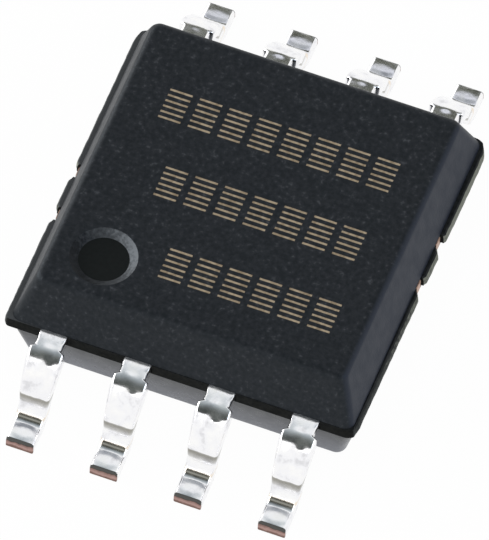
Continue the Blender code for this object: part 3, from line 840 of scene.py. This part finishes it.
def lead_moves():
    """(length, turn) pieces of a lead's side view; the shin and foot take what is left."""
    shoulder = SHOULDER_BEND_INSIDE + STRIP_THICKNESS / 2
    heel = HEEL_BEND_INSIDE + STRIP_THICKNESS / 2
    first_turn = SLOPE_TOP_PITCH - ROOT_TURN - SHOULDER_SAG
    start = [
        (LEAD_INSIDE + SHOULDER_STRAIGHT, 0.0), (ROOT_TURN_LENGTH, ROOT_TURN),
        (SHOULDER_SAG_LENGTH, SHOULDER_SAG), (shoulder * first_turn, first_turn),
        (SLOPE_LENGTH, SLOPE_BOTTOM_PITCH - SLOPE_TOP_PITCH),
        (KNEE_LENGTH, SHIN_PITCH - SLOPE_BOTTOM_PITCH),
    ]
    last_turn = SHIN_PITCH - FOOT_PITCH
    heel_bend = (heel * last_turn, -last_turn)
    heel_run = heel * (math.sin(SHIN_PITCH) - math.sin(FOOT_PITCH))
    heel_drop = heel * (math.cos(FOOT_PITCH) - math.cos(SHIN_PITCH))
    start_run, start_drop, _ = follow(start, 1.0, clamp=True)
    half = STRIP_THICKNESS / 2
    run = TIP_FROM_MIDDLE + half * math.sin(FOOT_PITCH) - INNER_END - start_run - heel_run
    drop = STRIP_MIDDLE - half * math.cos(FOOT_PITCH) - start_drop - heel_drop
    bend = math.sin(SHIN_PITCH - FOOT_PITCH)
    shin = (drop * math.cos(FOOT_PITCH) - run * math.sin(FOOT_PITCH)) / bend
    foot = (run * math.sin(SHIN_PITCH) - drop * math.cos(SHIN_PITCH)) / bend
    return start + [(shin, 0.0), heel_bend, (foot, 0.0)]


def follow(moves, distance, clamp=False):
    """Where a strip's middle is after a distance along its moves: run, drop and pitch."""
    run, drop, pitch = 0.0, 0.0, 0.0
    for number, (length, turn) in enumerate(moves):
        last = number == len(moves) - 1 and not clamp
        part = distance if last else min(distance, length)
        if turn:
            radius = length / turn
            ahead = pitch + part / radius
            run += radius * (math.sin(ahead) - math.sin(pitch))
            drop += radius * (math.cos(pitch) - math.cos(ahead))
            pitch = ahead
        else:
            run += part * math.cos(pitch)
            drop += part * math.sin(pitch)
        distance -= part
        if distance <= 0:
            break
    return run, drop, pitch


def lead_outline(moves, fan):
    """(distance, sideways shift, width) along a lead."""
    whole = sum(length for length, _ in moves)
    stub = LEAD_INSIDE + DAM_BAR_FROM_BODY
    shin_end = sum(length for length, _ in moves[:-2])
    return [
        (0.0, fan, INNER_END_WIDTH),
        (INNER_END_LENGTH, fan, INNER_END_WIDTH),
        (INNER_END_LENGTH + INNER_END_TAPER, 0.0, LEAD_WIDTH),
        (stub, 0.0, LEAD_WIDTH),
        (stub + DAM_BAR_STEP, 0.0, DAM_BAR_WIDTH),
        (stub + DAM_BAR_STEP + DAM_BAR_LENGTH, 0.0, DAM_BAR_WIDTH),
        (shin_end, 0.0, FOOT_WIDTH),
        (whole, 0.0, TIP_WIDTH),
    ]


def width_at(outline, distance):
    """Sideways shift and width of a lead at a distance along it."""
    for (start, *before), (end, *after) in zip(outline, outline[1:]):
        if distance <= end:
            share = max(0.0, (distance - start) / (end - start))
            return [old + share * (new - old) for old, new in zip(before, after)]
    return outline[-1][1:]


def section(half_width, over, under, top_roll, under_roll):
    """Points round a strip's section, (across, up), with its four edges rolled."""
    points = []
    corners = (
        (half_width, over, top_roll, 0.0), (-half_width, over, top_roll, 90.0),
        (-half_width, -under, under_roll, 180.0), (half_width, -under, under_roll, 270.0),
    )
    for x, y, roll, start in corners:
        centre = (x - math.copysign(roll, x), y - math.copysign(roll, y))
        for step in range(SECTION_CORNER_STEPS + 1):
            turn = math.radians(start + 90.0 * step / SECTION_CORNER_STEPS)
            points.append((centre[0] + roll * math.cos(turn), centre[1] + roll * math.sin(turn)))
        if start in (0.0, 180.0):
            ahead = -x - math.copysign(top_roll if start == 0.0 else under_roll, -x)
            here = points[-1]
            points += [
                (here[0] + (ahead - here[0]) * step / SECTION_ACROSS_STEPS, here[1])
                for step in range(1, SECTION_ACROSS_STEPS)
            ]
    return points


def lead_stations(moves, outline):
    """Distances along a lead where it gets a ring, closer together at its heel and its tip."""
    whole, foot = outline[-1][0], moves[-1][0]
    breaks = [row[0] for row in outline]
    count = math.ceil(whole / STATION_SPACING)
    breaks += [whole * step / count for step in range(count + 1)]
    fine = math.ceil(HEEL_FINE_PART / HEEL_SPACING)
    breaks += [whole - foot - HEEL_SPACING * step for step in range(fine)]
    breaks += [whole - TIP_DROOP * (1 - math.cos(math.radians(a))) for a in TIP_DROOP_ANGLES]
    breaks.sort()
    stations = [d for i, d in enumerate(breaks) if i == 0 or d - breaks[i - 1] > CLOSEST_STATIONS]
    stations[-1] = whole
    return stations


def lead_ring(lead, along, moves, outline, distance):
    """Points round a lead of the front row at a distance along it."""
    whole, foot = outline[-1][0], moves[-1][0]
    run, drop, pitch = follow(moves, distance)
    shift, width = width_at(outline, distance)
    past = max(0.0, distance - (whole - TIP_DROOP))
    lowered = TIP_DROOP - math.sqrt(max(0.0, TIP_DROOP ** 2 - past ** 2))
    grown = smooth_step((distance - LEAD_INSIDE) / ROLL_GROWS_OVER)
    top_roll = EDGE_EASE_INSIDE + grown * (TOP_EDGE_ROLL - EDGE_EASE_INSIDE)
    under_roll = EDGE_EASE_INSIDE + grown * (UNDER_EDGE_ROLL - EDGE_EASE_INSIDE)
    middle = Vector((along + shift, -INNER_END - run, STRIP_MIDDLE - drop))
    upward = Vector((0.0, -math.sin(pitch), math.cos(pitch)))
    outward = Vector((0.0, -math.cos(pitch), -math.sin(pitch)))
    slant = TIP_SLANT * max(0.0, 1 - (whole - distance) / (2 * TIP_SLANT))
    half = STRIP_THICKNESS / 2
    ring = []
    for across, up in section(width / 2, half - lowered, half, top_roll, under_roll):
        back = slant * (up / STRIP_THICKNESS + 0.5)
        if up > 0:
            up += swelling(distance - LEAD_INSIDE, across, lead) if distance > LEAD_INSIDE else 0.0
            up += heel_ridge(whole - foot - distance) + foot_pad(whole - distance, across, lead)
        ring.append(middle + Vector((across, 0.0, 0.0)) + upward * up - outward * back)
    return ring


def lead_mesh(lead, materials):
    """One formed lead with rolled edges, a drooping tip and the forming tool's marks."""
    row_place = (lead - 1) % LEADS_PER_ROW
    along = (row_place - (LEADS_PER_ROW - 1) / 2) * LEAD_PITCH
    fan = OUTER_LEAD_FAN if row_place in (0, LEADS_PER_ROW - 1) else INNER_LEAD_FAN
    moves = lead_moves()
    outline = lead_outline(moves, -math.copysign(fan, along))
    turn = Matrix.Rotation(math.pi if lead > LEADS_PER_ROW else 0.0, 4, "Z")
    rings = []
    for distance in lead_stations(moves, outline):
        ring = lead_ring(lead, along, moves, outline, distance)
        rings.append([turn @ point for point in ring])
    bm = bmesh.new()
    loft(bm, rings)
    mesh = mesh_from(bm, f"tinned_lead_{lead}", sharp_angle=LEAD_SHARP_ANGLE)
    for material in materials:
        mesh.materials.append(material)
    for polygon in mesh.polygons:
        if abs(polygon.center.y) > TIP_FROM_MIDDLE - SHEARED_ZONE:
            polygon.material_index = 1
    return mesh


def lead_noise(lead, seed, row=0.5):
    """A noise from about -1 to 1 that differs from lead to lead."""
    step, layer = seed
    return noise.noise(Vector((lead * step, row, layer)))


def foot_pad(from_tip, across, lead):
    """Height of the low oval pad that the forming tool leaves on a foot."""
    sideways = PAD_WANDER * lead_noise(lead, PAD_SEED)
    reach = math.hypot((from_tip - PAD_FROM_TIP) / PAD_LENGTH, (across - sideways) / PAD_WIDTH)
    return PAD_HEIGHT * math.exp(-reach ** 4)


def swelling(from_body, across, lead):
    """Height of the low swellings that break up the shoulder's bend."""
    height = 0.0
    for index, (place_along, place_aside, rise, length, width) in enumerate(SWELLINGS):
        sideways = SWELLING_WANDER * lead_noise(lead, SWELLING_PLACE_SEED, index + 0.5)
        rise *= 1 + SWELLING_VARIETY * lead_noise(lead, SWELLING_HEIGHT_SEED, index + 0.5)
        along = (from_body - place_along) / length
        aside = (across - place_aside - sideways) / width
        height += rise * math.exp(-along * along - aside * aside)
    return height


def heel_ridge(before_foot):
    """Height of the fine ridge that the forming tool leaves across the heel."""
    along = (before_foot - HEEL_RIDGE_BEFORE_FOOT) / HEEL_RIDGE_LENGTH
    return HEEL_RIDGE_HEIGHT * math.exp(-along * along)


def build_leads(materials):
    """The eight leads in place of their solids."""
    for lead in range(1, 2 * LEADS_PER_ROW + 1):
        obj = place(f"tinned_lead_{lead}", lead_mesh(lead, materials))
        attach(obj, "root")
        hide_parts(f"lead_{lead}")


# Stage


def add_camera():
    """A long lens at the photograph's angle, aimed so that the chip falls where it does there."""
    toward = Vector((
        math.sin(CAMERA_AZIMUTH) * math.cos(CAMERA_ELEVATION),
        -math.cos(CAMERA_AZIMUTH) * math.cos(CAMERA_ELEVATION),
        math.sin(CAMERA_ELEVATION),
    ))
    level = Vector((math.cos(CAMERA_AZIMUTH), math.sin(CAMERA_AZIMUTH), 0.0))
    upright = toward.cross(level)
    right = level * math.cos(CAMERA_ROLL) + upright * math.sin(CAMERA_ROLL)
    up = upright * math.cos(CAMERA_ROLL) - level * math.sin(CAMERA_ROLL)
    aside = (AIM_PIXEL[0] - IMAGE_SIZE[0] / 2) / PIXELS_PER_METRE
    above = (IMAGE_SIZE[1] / 2 - AIM_PIXEL[1]) / PIXELS_PER_METRE
    aim = Vector((0.0, 0.0, AIM_HEIGHT)) - right * aside - up * above
    camera = bpy.data.objects.new("camera", bpy.data.cameras.new("camera"))
    bpy.context.scene.collection.objects.link(camera)
    matrix = Matrix((right, up, toward)).transposed().to_4x4()
    matrix.translation = aim + toward * CAMERA_DISTANCE
    camera.matrix_world = matrix
    camera.data.sensor_width = SENSOR_WIDTH
    camera.data.lens = PIXELS_PER_METRE * CAMERA_DISTANCE * SENSOR_WIDTH / max(IMAGE_SIZE)
    camera.data.clip_start = CAMERA_DISTANCE / 10
    camera.data.clip_end = FAR_CLIP
    bpy.context.scene.camera = camera


def seen_directly(tree):
    """1 for rays from the camera, from a mirror or through glass, and 0 for light on matt things."""
    path = tree.nodes.new("ShaderNodeLightPath")
    seen = math_value(tree, "ADD", path.outputs["Is Camera Ray"], path.outputs["Is Glossy Ray"])
    seen = math_value(tree, "ADD", seen, path.outputs["Is Transmission Ray"])
    return math_value(tree, "MINIMUM", seen, 1.0)


def add_world():
    """A white surround that is seen in full, and lights matt things less."""
    world = bpy.data.worlds.new("studio")
    bpy.context.scene.world = world
    world.use_nodes = True
    tree = world.node_tree
    background = tree.nodes["Background"]
    background.inputs["Color"].default_value = (1.0, 1.0, 1.0, 1.0)
    span = tree.nodes.new("ShaderNodeMapRange")
    span.inputs["To Min"].default_value = WORLD_LIGHT
    span.inputs["To Max"].default_value = WHITE_SEEN
    tree.links.new(seen_directly(tree), span.inputs["Value"])
    tree.links.new(span.outputs["Result"], background.inputs["Strength"])


def add_floor():
    """A pale floor that is seen as near white, and still takes the chip's soft shadow."""
    bm = bmesh.new()
    bmesh.ops.create_grid(bm, x_segments=1, y_segments=1, size=FLOOR_SIZE / 2)
    floor = place("floor", mesh_from(bm, "floor"))
    material, tree, shader = new_material("pale_floor")
    shader.inputs["Base Color"].default_value = (*FLOOR_COLOUR, 1.0)
    shader.inputs["Roughness"].default_value = 0.9
    shader.inputs["Specular IOR Level"].default_value = 0.0
    glow = tree.nodes.new("ShaderNodeEmission")
    glow.inputs["Strength"].default_value = WHITE_SEEN
    mix = tree.nodes.new("ShaderNodeMixShader")
    share = math_value(tree, "MULTIPLY", seen_directly(tree), FLOOR_SEEN_WHITE)
    tree.links.new(share, mix.inputs["Fac"])
    tree.links.new(shader.outputs["BSDF"], mix.inputs[1])
    tree.links.new(glow.outputs["Emission"], mix.inputs[2])
    tree.links.new(mix.outputs["Shader"], tree.nodes["Material Output"].inputs["Surface"])
    floor.data.materials.append(material)


def add_softbox(name, azimuth, elevation, size, radiance, colour, glossy):
    """A rectangular lamp on a sphere round the chip; azimuth 0 is in front, +90 to the right."""
    lamp = bpy.data.lights.new(name, "AREA")
    lamp.shape = "RECTANGLE"
    lamp.size, lamp.size_y = size
    lamp.color = colour
    lamp.energy = radiance * math.pi * size[0] * size[1]
    obj = bpy.data.objects.new(name, lamp)
    bpy.context.scene.collection.objects.link(obj)
    azimuth, elevation = math.radians(azimuth), math.radians(elevation)
    direction = Vector((
        math.sin(azimuth) * math.cos(elevation), -math.cos(azimuth) * math.cos(elevation),
        math.sin(elevation),
    ))
    obj.location = direction * LAMP_DISTANCE
    obj.rotation_euler = direction.to_track_quat("Z", "Y").to_euler()
    obj.visible_camera = False
    obj.visible_glossy = glossy


def add_dark_card():
    """A card over the chip, shaded from dark to bright, that only shiny surfaces see."""
    front = CARD_HEIGHT / math.tan(CARD_FRONT_ELEVATION)
    back = CARD_HEIGHT / math.tan(CARD_BACK_ELEVATION)
    half = CARD_HEIGHT * math.tan(CARD_HALF_SPREAD)
    bm = bmesh.new()
    corners = [(-half, -front), (half, -front), (half, back), (-half, back)]
    bm.faces.new([bm.verts.new((x, y, CARD_HEIGHT)) for x, y in corners])
    mesh = bpy.data.meshes.new("dark_card")
    bm.to_mesh(mesh)
    bm.free()
    card = place("dark_card", mesh)
    material, tree, shader = new_material("dark_card")
    shader.inputs["Base Color"].default_value = (0.0, 0.0, 0.0, 1.0)
    shader.inputs["Roughness"].default_value = 1.0
    shader.inputs["Specular IOR Level"].default_value = 0.0
    shades = ramp(tree, axis_value(tree, "Y", -front, back), CARD_SHADES)
    tree.links.new(shades, shader.inputs["Emission Color"])
    shader.inputs["Emission Strength"].default_value = 1.0
    mesh.materials.append(material)
    card.visible_camera = False
    card.visible_diffuse = False
    card.visible_transmission = False
    card.visible_volume_scatter = False
    card.visible_shadow = False


def dress_inner_pieces():
    """Finishes for the pieces inside the body, which keep the frame's own solids."""
    finishes = {
        "die_pad": copper_material(),
        "die_attach": plain_layer_material(
            "silver_epoxy", (0.44, 0.44, 0.42), (0.62, 0.62, 0.60), (0.5, 0.65), 0.0, 12000),
        "flash_die": plain_layer_material(
            "silicon", (0.15, 0.16, 0.19), (0.21, 0.22, 0.25), (0.18, 0.3), 0.6, 3000),
    }
    gold = plain_layer_material(
        "gold_wire", (0.90, 0.66, 0.26), (0.98, 0.76, 0.36), (0.15, 0.3), 1.0, 20000)
    for lead in range(1, 2 * LEADS_PER_ROW + 1):
        finishes[f"bond_wire_{lead}"] = gold
    for node, material in finishes.items():
        slots = frame["nodes"][node].data.materials
        slots.clear()
        slots.append(material)


def body_materials():
    """The finishes of the compound, in the order in which body_zone counts them."""
    # The skin is painted bluer and paler on the right-hand wall: painted cool light.
    skin = compound_material(
        "compound_skin", (0.0015, 0.002, 0.0027), (0.0095, 0.0103, 0.012), (0.47, 0.54), 0.325,
        (2.0e-6, 1.6e-6), speck=(0.035, 0.037, 0.041), painted_light=(painted_cool_light_on_right_wall, (0.010, 0.0128, 0.023)))
    pin_floor = compound_material(
        "compound_pin_floor", (0.0055, 0.0065, 0.0058), (0.0070, 0.0080, 0.0073), (0.5, 0.6), 0.10,
        (0.2e-6, 0.2e-6))
    band = compound_material(
        "compound_band", (0.002, 0.002, 0.0016), (0.008, 0.008, 0.006), (0.7, 0.85), 0.12,
        (2.0e-6, 2.5e-6))
    # The dimple's wall is painted paler on the side towards the lamps: painted highlight.
    pin_side = compound_material(
        "compound_pin_side", (0.0045, 0.005, 0.0055), (0.0085, 0.0093, 0.011), (0.36, 0.50), 0.15,
        (1.6e-6, 2.2e-6), painted_light=(painted_dimple_highlight, (0.18, 0.195, 0.21)))
    # The lower wall is painted paler and lavender towards its foot: painted reflection of the floor.
    lower_wall = compound_material(
        "compound_lower_wall", (0.004, 0.0045, 0.0055), (0.008, 0.009, 0.011), (0.26, 0.34), 0.34,
        (1.0e-6, 1.2e-6), painted_light=(painted_floor_reflection_on_lower_wall, (0.17, 0.175, 0.205)))
    # The ledge is painted paler at the left end: painted light of the side lamp.
    ledge = compound_material(
        "compound_ledge", (0.002, 0.0022, 0.002), (0.009, 0.0095, 0.009), (0.65, 0.75), 0.20,
        (2.0e-6, 2.5e-6), painted_light=(painted_side_lamp_light_on_left, (0.055, 0.058, 0.06)))
    # The cut edge of the flange is painted paler towards the rear: painted reflection.
    trimmed = compound_material(
        "compound_trimmed", (0.008, 0.009, 0.008), (0.030, 0.032, 0.027), (0.7, 0.8), 0.25,
        (2.5e-6, 3.0e-6), painted_light=(painted_reflection_towards_rear, (0.25, 0.255, 0.205)))
    marked = compound_material(
        "compound_marked", (0.22, 0.17, 0.11), (0.36, 0.29, 0.20), (0.75, 0.85), 0.20,
        (2.0e-6, 2.0e-6))
    return [skin, pin_floor, band, pin_side, lower_wall, ledge, trimmed, marked]


def main():
    """The dressed chip on its stage."""
    build_body(body_materials())
    build_leads([tin_material(), cut_end_material()])
    dress_inner_pieces()
    add_camera()
    add_world()
    add_floor()
    add_dark_card()
    for lamp in LAMPS:
        add_softbox(*lamp)


main()
bpy.context.scene.view_settings.view_transform = "Standard"
